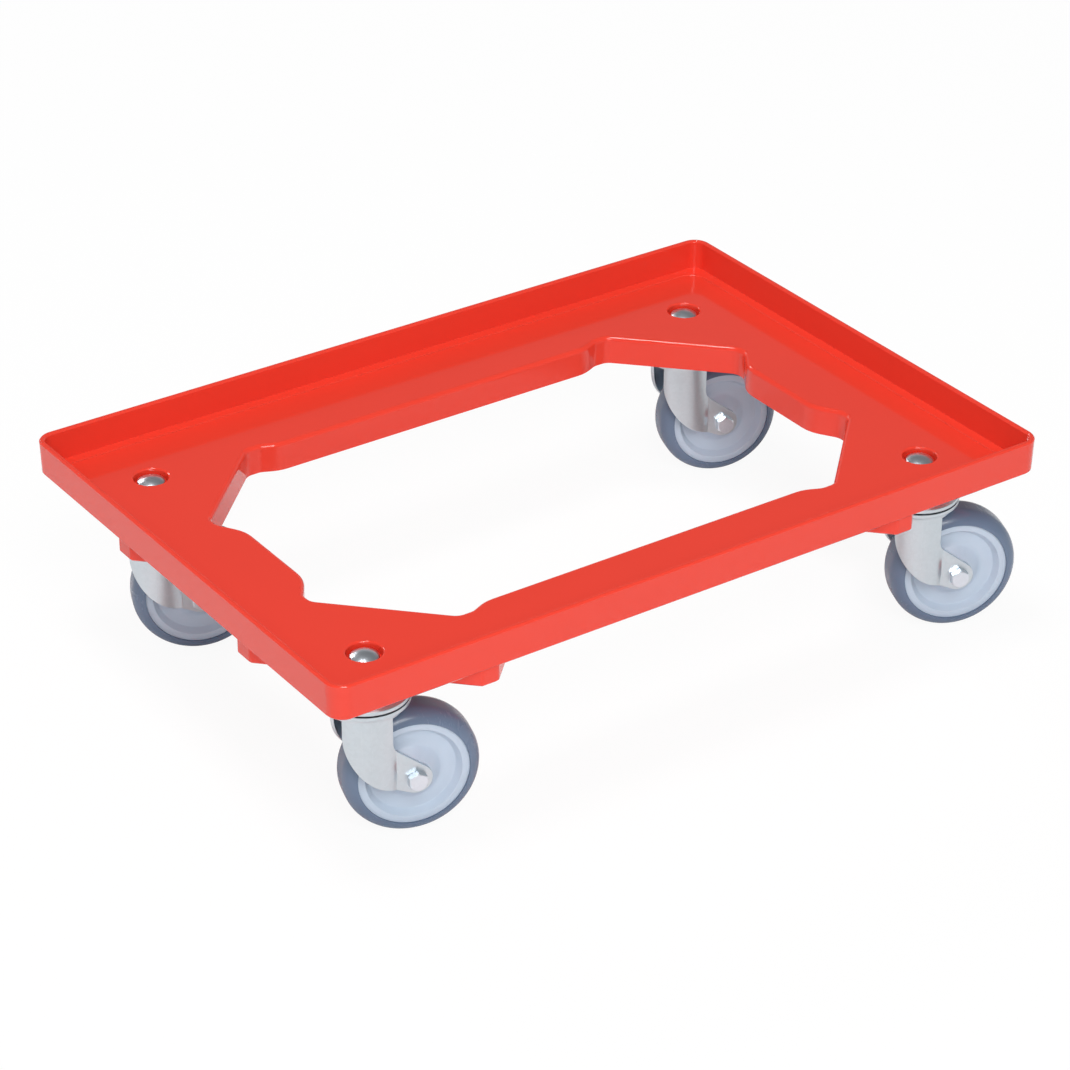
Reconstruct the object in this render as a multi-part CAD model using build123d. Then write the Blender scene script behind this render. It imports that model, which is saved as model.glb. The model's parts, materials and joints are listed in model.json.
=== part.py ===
from build123d import *
import os
from math import acos, atan2, cos, degrees, hypot, radians, sin, sqrt, tan

# Crate dolly: a moulded deck frame with a raised rim on four swivel castors, in millimetres.
# X runs along the long side, Y to the back and Z up. Pieces are drawn about the middle of the deck, with
# the floor at z = 0, and then moved so that the origin lies under the middle of the whole dolly.

# Deck frame
deck_length = 620.0
deck_width = 425.0
frame_depth = 43.1
corner_radius = 14.0
rim_height = 24.5
rim_wall = 4.5
rim_draft = 1.6
rim_edge = 1.2
wall_foot_edge = 1.6
plate = 3.9
ledge_rise = 0.6
ledge_width = 9.2
ledge_edge = 0.4

# Window in the middle of the deck
side_rail = 81.5
long_rail = 75.0
side_step = 13.0
long_step = 6.3
side_notch = 9.5
long_notch = 11.5
side_sweep = 20.0
long_sweep = 14.0
gusset_reach = 59.3
sweep_round = 30.0
window_round = 10.0
window_lip = 3.4

# Underside of the deck
skirt_wall = 3.5
skirt_inset = 32.0
skirt_edge = 1.6
window_drop = 4.4
beam_length = 184.6
beam_shoulder = 2.0
beam_inset = 4.7
beam_round = 4.0
beam_tip_land = 0.5
rib = 3.0
rib_recess = 2.0
rib_pitch = 58.0
boss_radius = 30.0

# Places of the castors: bolt centres from the deck's ends and sides, and the way each one trails
bolt_inset_x = 63.0
bolt_inset_y = 64.7
trail_angles = {"front_left": -16.8, "front_right": -21.8, "rear_left": -21.4, "rear_right": -17.7}

# Mounting bolt and lock nut
bolt_radius = 6.0
bolt_head_radius = 10.5
bolt_head_height = 6.6
bolt_head_edge = 3.6
bolt_tail = 1.0
counterbore_room = 2.4
counterbore_depth = 7.0
counterbore_edge = 1.6
lock_nut_flats = 18.0
lock_nut_height = 8.0

# Swivel head
head_height = 28.4
head_drop = 15.4
cap_steel = 2.5
cap_top_radius = 22.0
cap_rim_radius = 32.0
cap_height = 13.4
cap_lip = 2.0
sleeve_wall = 2.8
retainer_steel = 2.5
retainer_room = 4.0
retainer_dish = 4.3
nut_room = 1.6
ball = 5.0

# Fork
fork_steel = 3.0
crown_bulge = 5.0
crown_flare = 5.0
crown_skirt = 6.0
fork_tip_radius = 11.6
fork_front = 21.6
fork_front_round = 46.2
fork_front_round_rise = 40.0
fork_back = 13.2
fork_knee_rise = 27.5
fork_knee_round = 12.0

# Axle
axle_radius = 4.0
axle_flats = 13.0
axle_head_height = 5.3
axle_nut_height = 6.5
axle_tail = 2.0
axle_sleeve_wall = 1.8

# Wheel
wheel_radius = 50.0
trail = 30.0
tyre_width = 32.0
tyre_depth = 9.3
tyre_shoulder = 11.0
hub_length = 37.0
hub_rim = 5.4
hub_rim_width = 28.8
hub_slope = 3.8
hub_dish_width = 18.0
hub_boss_radius = 12.5
hub_boss_flare = 3.0

# Clearances
bolt_clearance = 0.2
swivel_gap = 0.3
ball_gap = 0.3
axle_fit = 0.05
hub_end_gap = 0.5

# Straight steps that stand for a round in a turned profile
shoulder_steps = 3
flare_steps = 2
dome_steps = 3

# Levels and places that follow from the sizes above
seat_z = 2 * wheel_radius + head_height
rim_top = seat_z + frame_depth
deck_top = rim_top - rim_height
deck_bottom = deck_top - plate
ledge_top = deck_top + ledge_rise
ledge_bottom = ledge_top - plate
root_z = (ledge_bottom + deck_top) / 2
bolt_x = deck_length / 2 - bolt_inset_x
bolt_y = deck_width / 2 - bolt_inset_y
bolt_hole = bolt_radius + bolt_clearance
bolt_seat = deck_top - counterbore_depth
counterbore_radius = bolt_head_radius + counterbore_room
cap_bottom = seat_z - cap_steel
crown_top = seat_z - head_drop
crown_bottom = crown_top - fork_steel
retainer_top = crown_bottom - swivel_gap
nut_top = retainer_top - retainer_steel
nut_bottom = nut_top - lock_nut_height
sleeve_radius = bolt_hole + sleeve_wall
axle_z = wheel_radius
axle_hole = axle_radius + bolt_clearance
axle_sleeve_radius = axle_hole + axle_sleeve_wall
leg_inside = hub_length / 2 + hub_end_gap
leg_outside = leg_inside + fork_steel
crown_radius = leg_outside + crown_bulge
crown_inside = crown_radius - fork_steel
hub_radius = wheel_radius - tyre_depth
tip_turn = 45.0
corners = {
    "front_left": (-1, -1),
    "front_right": (1, -1),
    "rear_left": (-1, 1),
    "rear_right": (1, 1),
}


def level(z):
    return Plane.XY.offset(z)


def rounded_deck(inset, radius):
    return RectangleRounded(deck_length - 2 * inset, deck_width - 2 * inset, radius)


def bolt_places():
    return [Pos(x * bolt_x, y * bolt_y) for x, y in corners.values()]


def turned(points):
    """A solid turned about Z from (radius, height) points."""
    return revolve(Plane.XZ * make_face(Polyline(*points, close=True)), axis=Axis.Z)


def wheel_turned(points):
    """A solid turned about the axle from (radius, distance from the middle of the wheel) points."""
    ring = revolve(make_face(Polyline(*points, close=True)), axis=Axis.Y)
    return Pos(trail, 0, axle_z) * ring


def round_points(centre, radius, start, end, steps):
    """Points along an arc, from one angle to another in degrees, both ends included."""
    turns = [radians(start + (end - start) * i / steps) for i in range(steps + 1)]
    return [(centre[0] + radius * cos(t), centre[1] + radius * sin(t)) for t in turns]


def tangent(centre_a, radius_a, centre_b, radius_b, side):
    """The two points where a line touches two circles on the same side, seen from a to b."""
    dx = centre_b[0] - centre_a[0]
    dy = centre_b[1] - centre_a[1]
    turn = atan2(dy, dx) + side * acos((radius_a - radius_b) / hypot(dx, dy))
    touch_a = (centre_a[0] + radius_a * cos(turn), centre_a[1] + radius_a * sin(turn))
    touch_b = (centre_b[0] + radius_b * cos(turn), centre_b[1] + radius_b * sin(turn))
    return touch_a, touch_b, degrees(turn)


def inside_rails(shapes, margin):
    """The edges or corners whose middle lies further than margin from the deck's outer faces."""
    x_limit = deck_length / 2 - margin
    y_limit = deck_width / 2 - margin
    return [s for s in shapes if abs(s.center().X) < x_limit and abs(s.center().Y) < y_limit]


def window_outline():
    """The open middle: straight along the rails, stepped out towards the slanting gussets."""
    mid_x = deck_length / 2 - side_rail
    mid_y = deck_width / 2 - long_rail
    far_x = mid_x + side_step
    far_y = mid_y + long_step
    gusset_sum = bolt_x + bolt_y - gusset_reach * sqrt(2)
    side_end = gusset_sum - far_x
    long_end = gusset_sum - far_y
    quarter = [
        (mid_x, side_end - side_notch - side_sweep),
        (far_x, side_end - side_notch),
        (far_x, side_end),
        (long_end, far_y),
        (long_end - long_notch, far_y),
        (long_end - long_notch - long_sweep, mid_y),
    ]
    points = list(quarter)
    points += [(-x, y) for x, y in reversed(quarter)]
    points += [(-x, -y) for x, y in quarter]
    points += [(x, -y) for x, y in reversed(quarter)]
    outline = make_face(Polyline(*points, close=True))

    def sweep_start(corner):
        return abs(corner.X) < (mid_x + far_x) / 2 and abs(corner.Y) < (mid_y + far_y) / 2

    outline = fillet([v for v in outline.vertices() if not sweep_start(v)], window_round)
    return fillet([v for v in outline.vertices() if sweep_start(v)], sweep_round)


def beam_outline(x_side, y_side):
    """Plan of the slanting beam that carries one castor, cut short where it nears the walls."""
    width = gusset_reach + beam_shoulder
    middle = beam_shoulder - width / 2
    bar = Pos(middle, 0) * Rectangle(width, beam_length)
    outward = degrees(atan2(y_side, x_side))
    beam = Pos(x_side * bolt_x, y_side * bolt_y) * Rot(0, 0, outward) * bar
    return beam & rounded_deck(beam_inset, corner_radius)


def underside_outline():
    """Plan of the deep part of the deck: the rails' box and the four castor beams."""
    box = Rectangle(deck_length - 2 * skirt_inset, deck_width - 2 * skirt_inset)
    outline = box + [beam_outline(x, y) for x, y in corners.values()]
    margin = skirt_inset - beam_round
    tips = [v for v in outline.vertices() if not inside_rails([v], margin)]
    blunt_end = min(e.length for e in outline.edges() if not inside_rails([e], margin))
    widest = (blunt_end - beam_tip_land) / 2 / tan(radians(tip_turn / 2))
    return fillet(tips, min(beam_round, widest))


def rim():
    """Drafted wall all round with the ledge at its foot."""
    block = extrude(level(rim_top) * rounded_deck(0, corner_radius), ledge_bottom - rim_top, taper=rim_draft)
    block = chamfer(block.edges().group_by(Axis.Z)[0], wall_foot_edge)
    inside = rounded_deck(rim_wall, corner_radius - rim_wall)
    block -= extrude(level(rim_top) * inside, ledge_top - rim_top, taper=rim_draft)
    block = chamfer(block.edges().group_by(Axis.Z)[-1], rim_edge)
    step = rounded_deck(rim_wall + ledge_width, corner_radius)
    block -= extrude(level(ledge_bottom) * step, plate)
    ledge_edges = block.edges().filter_by_position(Axis.Z, ledge_top, ledge_top)
    return chamfer(inside_rails(ledge_edges, rim_wall + ledge_width / 2), ledge_edge)


def deck_plate():
    """Flat floor inside the ledge, with the window cut out and its edge rounded."""
    outline = rounded_deck(rim_wall + ledge_width - plate, corner_radius)
    floor = extrude(level(deck_bottom) * (outline - window_outline()), plate)
    lip = inside_rails(floor.edges().group_by(Axis.Z)[-1], rim_wall + 2 * ledge_width)
    return fillet(lip, window_lip)


def skirts():
    """Walls that hang from the plate: round the rails and beams, and a little lower round the window."""
    outline = underside_outline()
    outer = extrude(level(seat_z) * outline, root_z - seat_z)
    outer = chamfer(outer.edges().group_by(Axis.Z)[0], skirt_edge)
    hollow = offset(outline, -skirt_wall, kind=Kind.INTERSECTION)
    outer -= extrude(level(seat_z) * hollow, root_z - seat_z)
    window = window_outline()
    window_foot = seat_z - window_drop
    lip_foot = deck_bottom + (plate - window_lip) / 2
    inner = extrude(level(window_foot) * (offset(window, skirt_wall) - window), lip_foot - window_foot)
    return outer + inner


def ribs():
    """Cross ribs along the rails, and ribs along and across each castor beam."""
    long_count = int((deck_length / 2 - side_rail) / rib_pitch)
    bars = [Pos(i * rib_pitch, 0) * Rectangle(rib, deck_width) for i in range(-long_count, long_count + 1)]
    bars += [Pos(0, side * rib_pitch / 2) * Rectangle(deck_length, rib) for side in (-1, 1)]
    for x, y in corners.values():
        at_bolt = Pos(x * bolt_x, y * bolt_y) * Rot(0, 0, degrees(atan2(y, x)))
        bars.append(at_bolt * Rectangle(rib, beam_length))
        bars.append(at_bolt * Pos(-gusset_reach / 2, 0) * Rectangle(gusset_reach, rib))
    room = underside_outline() - offset(window_outline(), skirt_wall / 2)
    start = seat_z + rib_recess
    return extrude(level(start) * ((Sketch() + bars) & room), root_z - start)


def deck_frame():
    """The whole deck moulding with its castor bosses and bolt holes."""
    frame = rim() + deck_plate() + skirts() + ribs()
    for place in bolt_places():
        frame += place * Pos(0, 0, seat_z) * extrude(Circle(boss_radius), root_z - seat_z)
        frame -= place * Pos(0, 0, seat_z) * extrude(Circle(bolt_hole), rim_height)
        frame -= place * Pos(0, 0, bolt_seat) * extrude(Circle(counterbore_radius), counterbore_depth)
    mouths = frame.edges().filter_by(GeomType.CIRCLE).filter_by_position(Axis.Z, deck_top, deck_top)
    return fillet([e for e in mouths if e.is_closed], counterbore_edge)


def mounting_bolt():
    """Domed head in the counterbore, and a plain shank down through the lock nut."""
    end = nut_bottom - bolt_tail
    rise = bolt_head_height - bolt_head_edge
    dome = (bolt_head_radius**2 + rise**2) / (2 * rise)
    dome_centre = (0, bolt_seat + bolt_head_height - dome)
    return turned([
        (0, end),
        (bolt_radius, end),
        (bolt_radius, bolt_seat),
        (bolt_head_radius, bolt_seat),
        *round_points(dome_centre, dome, degrees(acos(bolt_head_radius / dome)), 90, dome_steps),
    ])


def lock_nut():
    nut = RegularPolygon(lock_nut_flats / 2, 6, major_radius=False) - Circle(bolt_hole)
    return extrude(level(nut_bottom) * nut, lock_nut_height)


def cap_inside(z):
    """Inner radius of the swivel cap's cone at a height."""
    run = cap_rim_radius - cap_top_radius
    rise = cap_height - cap_lip
    sideways = cap_steel * hypot(run, rise) / rise
    return cap_top_radius + run * (seat_z - z) / rise - sideways


def swivel_cap():
    """Upper race: a pressed cone with an upright lip, under the deck's boss."""
    rim_z = seat_z - cap_height
    lip_inside = cap_rim_radius - cap_steel
    slope = (cap_inside(rim_z) - cap_inside(cap_bottom)) / (cap_bottom - rim_z)
    return turned([
        (bolt_hole, seat_z),
        (cap_top_radius, seat_z),
        (cap_rim_radius, rim_z + cap_lip),
        (cap_rim_radius, rim_z),
        (lip_inside, rim_z),
        (lip_inside, rim_z + (cap_inside(rim_z) - lip_inside) / slope),
        (cap_inside(cap_bottom), cap_bottom),
        (bolt_hole, cap_bottom),
    ])


def king_sleeve():
    """Spacer tube between cap and retainer; the fork's crown turns round it."""
    tube = Circle(sleeve_radius) - Circle(bolt_hole)
    return extrude(level(retainer_top) * tube, cap_bottom - retainer_top)


def swivel_retainer():
    """Lower race: a dished ring, clamped by the lock nut, that carries the fork's crown."""
    seat = lock_nut_flats / sqrt(3) + nut_room
    edge = crown_inside - retainer_room
    return turned([
        (bolt_hole, retainer_top),
        (seat, retainer_top),
        (edge, retainer_top - retainer_dish),
        (edge, retainer_top - retainer_dish - retainer_steel),
        (seat, nut_top),
        (bolt_hole, nut_top),
    ])


def ball_ring():
    """One ring in the room that the bearing balls take between cap and crown."""
    bottom = crown_top + swivel_gap
    outside = cap_inside(bottom + ball) - ball_gap
    return extrude(level(bottom) * (Circle(outside) - Circle(outside - ball)), ball)


def leg_outline():
    """Side view of a fork leg: trail along X, height along Y."""
    front_centre = (fork_front_round - fork_front, axle_z + fork_front_round_rise)
    front_top = (-fork_front, front_centre[1])
    axle = (trail, axle_z)
    knee = (fork_back, axle_z + fork_knee_rise)
    front_touch, tip_low, low_turn = tangent(front_centre, fork_front_round, axle, fork_tip_radius, -1)
    tip_high, high_turn = tangent(knee, 0, axle, fork_tip_radius, 1)[1:]
    outline = make_face([
        Line((-fork_front, crown_bottom), front_top),
        CenterArc(front_centre, fork_front_round, 180, low_turn + 180),
        Line(front_touch, tip_low),
        CenterArc(axle, fork_tip_radius, low_turn, high_turn - low_turn),
        Line(tip_high, knee),
        Line(knee, (fork_back, crown_bottom)),
        Line((fork_back, crown_bottom), (-fork_front, crown_bottom)),
    ])
    return fillet(outline.vertices().sort_by_distance(knee)[0], fork_knee_round)


def leg_plan():
    """Both legs from above: round about the swivel axis, flat beside the wheel."""
    crease_out = sqrt(crown_radius**2 - leg_outside**2)
    crease_in = sqrt(crown_inside**2 - leg_inside**2)
    reach = trail + fork_tip_radius
    behind = (Align.MIN, Align.CENTER)
    ring = Circle(crown_radius) - Circle(crown_inside)
    ring -= Pos(crease_out, 0) * Rectangle(crown_radius, 2 * crown_radius, align=behind)
    flats = Pos(crease_in, 0) * Rectangle(reach - crease_in, 2 * leg_outside, align=behind)
    gap = Pos(crease_in, 0) * Rectangle(reach, 2 * leg_inside, align=behind)
    return ring + flats - gap


def fork():
    """Pressed fork: a round crown with two legs that trail back to the axle."""
    hole = sleeve_radius + swivel_gap
    rim_radius = crown_radius + crown_flare
    profile = [
        (hole, crown_bottom),
        (crown_inside, crown_bottom),
        (crown_inside, crown_bottom - crown_skirt),
        (crown_radius, crown_bottom - crown_skirt),
        *round_points((rim_radius, crown_bottom - crown_flare), crown_flare, 180, 90, flare_steps),
        (rim_radius, crown_top),
        (hole, crown_top),
    ]
    legs = extrude(leg_plan(), crown_bottom)
    legs &= extrude(Plane.XZ * leg_outline(), crown_radius, both=True)
    return turned(profile) + legs - across_axle(Circle(axle_hole), -leg_outside, 2 * leg_outside)


def across_axle(sketch, start, length):
    """A sketch drawn about the axle, pushed along it from start towards the far leg."""
    return Pos(trail, start, axle_z) * extrude(Plane.XZ * sketch, -length)


def axle_hexagon():
    return RegularPolygon(axle_flats / 2, 6, major_radius=False)


def axle_bolt():
    """Hexagon head outside the near leg, shank through to the far side."""
    shank = 2 * leg_outside + axle_nut_height + axle_tail
    head = across_axle(axle_hexagon(), -leg_outside - axle_head_height, axle_head_height)
    return head + across_axle(Circle(axle_radius), -leg_outside, shank)


def axle_nut():
    return across_axle(axle_hexagon() - Circle(axle_hole), leg_outside, axle_nut_height)


def axle_sleeve():
    """Steel tube clamped between the legs, on which the hub runs."""
    return across_axle(Circle(axle_sleeve_radius) - Circle(axle_hole), -leg_inside, 2 * leg_inside)


def mirrored(half):
    """A whole wheel profile from its half, given from the bore outwards."""
    return half + [(radius, -side) for radius, side in reversed(half)]


def wheel_hub():
    """Moulded wheel centre: rim, dished web and a boss that runs on the axle sleeve."""
    rim_inside = hub_radius - hub_rim
    return wheel_turned(mirrored([
        (axle_sleeve_radius + axle_fit, hub_length / 2),
        (hub_boss_radius, hub_length / 2),
        (hub_boss_radius + hub_boss_flare, hub_dish_width / 2),
        (rim_inside - hub_slope, hub_dish_width / 2),
        (rim_inside, hub_rim_width / 2),
        (hub_radius, hub_rim_width / 2),
    ]))


def tyre():
    """Soft tread with round shoulders, moulded on the hub's rim."""
    shoulder = (wheel_radius - tyre_shoulder, tyre_width / 2 - tyre_shoulder)
    foot = degrees(acos((tyre_shoulder - tyre_depth) / tyre_shoulder))
    return wheel_turned(mirrored(round_points(shoulder, tyre_shoulder, foot, 0, shoulder_steps)))


def at_corner(shape, corner):
    """A castor piece, drawn about its own swivel axis, at its place under the deck."""
    x, y = corners[corner]
    return Pos(x * bolt_x, y * bolt_y) * Rot(0, 0, trail_angles[corner]) * shape


def moved_to_origin(nodes):
    """Every piece moved along X, so that the box round the whole dolly lies evenly about the origin."""
    boxes = [shape.bounding_box() for shape in nodes.values()]
    middle = (min(box.min.X for box in boxes) + max(box.max.X for box in boxes)) / 2
    return {node: Pos(-middle, 0) * shape for node, shape in nodes.items()}


def main():
    nodes = {"deck_frame": deck_frame()}
    fasteners = {"mounting_bolts": mounting_bolt(), "lock_nuts": lock_nut()}
    for node, shape in fasteners.items():
        nodes[node] = Compound([at_corner(shape, corner) for corner in corners])
    castor = {
        "swivel_cap": swivel_cap(),
        "king_sleeve": king_sleeve(),
        "swivel_retainer": swivel_retainer(),
        "ball_ring": ball_ring(),
        "fork": fork(),
        "axle_bolt": axle_bolt(),
        "axle_nut": axle_nut(),
        "axle_sleeve": axle_sleeve(),
        "wheel_hub": wheel_hub(),
        "tyre": tyre(),
    }
    for corner in corners:
        for piece, shape in castor.items():
            nodes[f"{corner}_{piece}"] = at_corner(shape, corner)
    os.makedirs("parts", exist_ok=True)
    for node, shape in moved_to_origin(nodes).items():
        export_step(shape, f"parts/{node}.step")


main()
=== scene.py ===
import json
from math import acos, asin, atan2, cos, hypot, pi, radians, sin, sqrt, tan

import bmesh
import bpy
from bpy.props import FloatProperty, FloatVectorProperty, IntProperty, PointerProperty
from mathutils import Matrix, Vector


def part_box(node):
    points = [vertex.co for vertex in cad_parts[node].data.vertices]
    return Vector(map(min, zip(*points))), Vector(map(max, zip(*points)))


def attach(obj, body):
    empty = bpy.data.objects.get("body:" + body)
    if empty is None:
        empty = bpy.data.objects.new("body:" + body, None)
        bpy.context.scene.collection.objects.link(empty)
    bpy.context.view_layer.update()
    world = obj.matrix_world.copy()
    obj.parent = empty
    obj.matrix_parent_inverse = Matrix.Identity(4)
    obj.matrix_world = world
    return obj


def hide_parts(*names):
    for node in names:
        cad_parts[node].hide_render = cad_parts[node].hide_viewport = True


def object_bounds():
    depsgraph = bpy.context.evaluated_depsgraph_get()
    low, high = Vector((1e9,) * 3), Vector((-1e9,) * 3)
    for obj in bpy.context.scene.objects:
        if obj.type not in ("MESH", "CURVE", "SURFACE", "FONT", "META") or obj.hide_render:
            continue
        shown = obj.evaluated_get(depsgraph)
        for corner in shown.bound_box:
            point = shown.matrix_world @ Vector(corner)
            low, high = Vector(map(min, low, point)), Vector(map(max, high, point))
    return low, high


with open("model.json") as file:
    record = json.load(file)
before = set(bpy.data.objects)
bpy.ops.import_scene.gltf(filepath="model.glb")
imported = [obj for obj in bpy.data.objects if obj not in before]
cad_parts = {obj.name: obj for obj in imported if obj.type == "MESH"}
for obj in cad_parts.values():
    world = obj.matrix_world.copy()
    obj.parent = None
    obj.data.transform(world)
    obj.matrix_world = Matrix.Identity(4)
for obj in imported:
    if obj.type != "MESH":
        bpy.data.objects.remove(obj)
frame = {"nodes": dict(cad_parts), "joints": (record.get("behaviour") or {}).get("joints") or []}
cad_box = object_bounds()

bl_info = {
    "name": "Crate dolly finish",
    "version": (1, 0, 0),
    "blender": (4, 5, 0),
    "location": "3D View > Sidebar > Crate dolly",
    "description": "Dresses the crate dolly's frame in moulded plastic, zinc-plated steel and rubber",
    "category": "Object",
}

CORNERS = ("front_left", "front_right", "rear_left", "rear_right")
FIRST = CORNERS[0]
LAMPS = ("key", "fill", "top", "back")
JOINTS = {joint["name"]: joint for joint in frame["joints"]}
PHOTO_PIXELS = 1070

# Meshing limits, in metres and radians
WELD = 1e-6
FLAT_ANGLE = radians(0.4)
SHARP_ANGLE = radians(32)
ROUND_ANGLE = radians(24)
HEXAGON_ANGLE = radians(20)
CORE_RADIUS = 1e-4

# Steps round turned steel pieces and hexagons
PRESSING_STEPS = 96
ROD_STEPS = 48
HEXAGON_STEPS = 72

# Turned ends of hexagons: their width as a share of the flats, and the slope of their chamfer
TURNED_SHARE = 0.96
CHAMFER_SLOPE = tan(radians(30))

# Radii on the corners of the hubs and swivel caps, in metres
BOSS_EDGE = 0.0012
BOSS_FOOT = 0.0065
DISH_FOOT = 0.0012
RIM_INSIDE = 0.0004
RIM_OUTSIDE = 0.0003
CAP_SHOULDER = 0.003
CAP_BREAK = 0.0012
CAP_LIP_OUTSIDE = 0.0010
CAP_LIP_INSIDE = 0.0004
CAP_INNER_BREAK = 0.0008
CAP_INNER_SHOULDER = 0.0015


# Places and sizes read from the frame


def castor_place(corner):
    """From a castor's own axes, swivel axis up and trail along X, to its place under the deck."""
    swivel = Vector(JOINTS[f"{corner}_swivel"]["pos_m"])
    trail = Vector(JOINTS[f"{corner}_roll"]["pos_m"]) - swivel
    turn = Matrix.Rotation(atan2(trail.y, trail.x), 4, "Z")
    return Matrix.Translation((swivel.x, swivel.y, 0)) @ turn


def axle_spot():
    """The axle's distance behind the swivel axis and its height, alike on every castor."""
    swivel = Vector(JOINTS[f"{FIRST}_swivel"]["pos_m"])
    axle = Vector(JOINTS[f"{FIRST}_roll"]["pos_m"])
    return Vector(((axle - swivel).to_2d().length, axle.z))


def axle_place(corner):
    """From axes with the axle up Z to the wheel's place in the fork, the far leg towards +Z."""
    behind, height = axle_spot()
    to_axle = Matrix.Translation((behind, 0, height)) @ Matrix.Rotation(-pi / 2, 4, "X")
    return castor_place(corner) @ to_axle


def box_in(place, node):
    """Lowest and highest corner of a CAD node in the axes that place starts from."""
    back = place.inverted()
    points = [back @ vertex.co for vertex in frame["nodes"][node].data.vertices]
    low = Vector([min(point[i] for point in points) for i in range(3)])
    high = Vector([max(point[i] for point in points) for i in range(3)])
    return low, high


DECK_LOW, DECK_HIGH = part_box("deck_frame")
DECK_MIDDLE = (DECK_LOW + DECK_HIGH) / 2
BOLT_LOW, BOLT_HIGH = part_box("mounting_bolts")
NUT_LOW, NUT_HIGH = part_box("lock_nuts")
CAP_LOW, CAP_HIGH = box_in(castor_place(FIRST), f"{FIRST}_swivel_cap")
BALL_LOW, BALL_HIGH = box_in(castor_place(FIRST), f"{FIRST}_ball_ring")
FORK_LOW, FORK_HIGH = box_in(castor_place(FIRST), f"{FIRST}_fork")
AXLE_LOW, AXLE_HIGH = box_in(axle_place(FIRST), f"{FIRST}_axle_bolt")
AXLE_NUT_LOW, AXLE_NUT_HIGH = box_in(axle_place(FIRST), f"{FIRST}_axle_nut")
TYRE_HIGH = box_in(axle_place(FIRST), f"{FIRST}_tyre")[1]
HUB_HIGH = box_in(axle_place(FIRST), f"{FIRST}_wheel_hub")[1]
SLEEVE_HIGH = box_in(axle_place(FIRST), f"{FIRST}_axle_sleeve")[1]


# Settings that a user would change


def kind_of_setting(make, **kind):
    """A maker of like settings, each given by its name, description and default."""
    def setting(name, description, default):
        return make(name=name, description=description, default=default, **kind)
    return setting


Length = kind_of_setting(FloatProperty, unit="LENGTH")
Share = kind_of_setting(FloatProperty, subtype="FACTOR", min=0, max=1)
Angle = kind_of_setting(FloatProperty, subtype="ANGLE")
Power = kind_of_setting(FloatProperty, unit="POWER")
Light = kind_of_setting(FloatProperty, min=0)
Pixel = kind_of_setting(FloatProperty, subtype="PIXEL")
Count = kind_of_setting(IntProperty, min=3)
Way = kind_of_setting(FloatVectorProperty, subtype="DIRECTION")
Colour = kind_of_setting(FloatVectorProperty, subtype="COLOR", min=0, max=1)


class DollyDeckSettings(bpy.types.PropertyGroup):
    """Sizes and colours of the deck moulding and its bolts"""

    red: Colour("Red", "Colour of the moulded plastic", (0.79, 0.050, 0.028))
    gloss: Share("Roughness", "Roughness of the moulded plastic", 0.085)
    edge_round: Length("Edge round", "Radius worked on every edge of the moulding", 0.00025)
    head_height: Length("Bolt head", "Height of a mounting bolt's head", 0.0066)
    head_edge: Length("Bolt edge", "Height of the head's upright edge", 0.0036)
    head_round: Length("Bolt round", "Radius between the head's edge and its dome", 0.0007)
    shank_radius: Length("Bolt shank", "Radius of a mounting bolt's shank", 0.006)


class DollyCastorSettings(bpy.types.PropertyGroup):
    """Sizes and colours of the castors' steel pieces"""

    zinc: Colour("Zinc", "Colour of the plated pressings", (0.58, 0.645, 0.685))
    zinc_roughness: Share("Zinc roughness", "Roughness of the plated pressings", 0.31)
    fastener: Colour("Fasteners", "Colour of the plated bolts and nuts", (0.70, 0.75, 0.81))
    fastener_roughness: Share("Fastener roughness", "Roughness of the plated bolts and nuts", 0.3)
    fork_steel: Length("Fork steel", "Thickness of the fork's steel", 0.003)
    fork_round: Length("Pressing edge", "Radius on the fork's cut edges", 0.0006)
    crown_flare: Length("Crown flare", "Radius between the fork's body and its flange", 0.005)
    crown_bore: Length("Crown bore", "Radius of the hole in the fork's crown", 0.0093)
    fork_seam: Length("Seam", "How far the crown stands over the legs", 0.00004)
    fork_bend: Length("Leg bend", "Radius where a leg's round part turns flat", 0.003)
    fork_front: Length("Fork front", "From the swivel axis to the legs' front edge", 0.0216)
    fork_back: Length("Fork back", "From the swivel axis to the legs' back edge", 0.0132)
    front_round: Length("Front round", "Radius of the legs' lower front edge", 0.0462)
    front_rise: Length("Front rise", "Height above the axle where that round begins", 0.040)
    knee_rise: Length("Knee rise", "Height of the legs' knee above the axle", 0.0275)
    knee_round: Length("Knee round", "Radius in the legs' knee", 0.012)
    ball_count: Count("Balls", "Bearing balls in each swivel head", 26)
    cap_steel: Length("Cap steel", "Thickness of the swivel cap", 0.0025)
    cap_top: Length("Cap top", "Radius of the swivel cap's flat top", 0.022)
    cap_bore: Length("Cap bore", "Radius of the hole in the swivel cap", 0.0065)
    cap_lip: Length("Cap lip", "Height of the swivel cap's upright lip", 0.002)
    cap_gap: Length("Cap gap", "From the fork up to the swivel cap's lip", 0.0009)
    nut_flats: Length("Lock nut flats", "Width across a lock nut's flats", 0.018)
    nut_bore: Length("Lock nut bore", "Radius of the hole in a lock nut", 0.0062)
    axle_radius: Length("Axle radius", "Radius of the axle bolt's shank", 0.004)
    axle_head: Length("Axle head", "Height of the axle bolt's head", 0.0053)
    axle_bore: Length("Axle nut bore", "Radius of the hole in an axle nut", 0.0042)
    axle_flats: Length("Axle flats", "Width across the axle bolt's flats", 0.013)
    thread_pitch: Length("Thread pitch", "Rise of the axle thread in a turn", 0.00125)
    thread_depth: Share("Thread depth", "Depth of the axle thread as a share of its pitch", 0.33)


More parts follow.
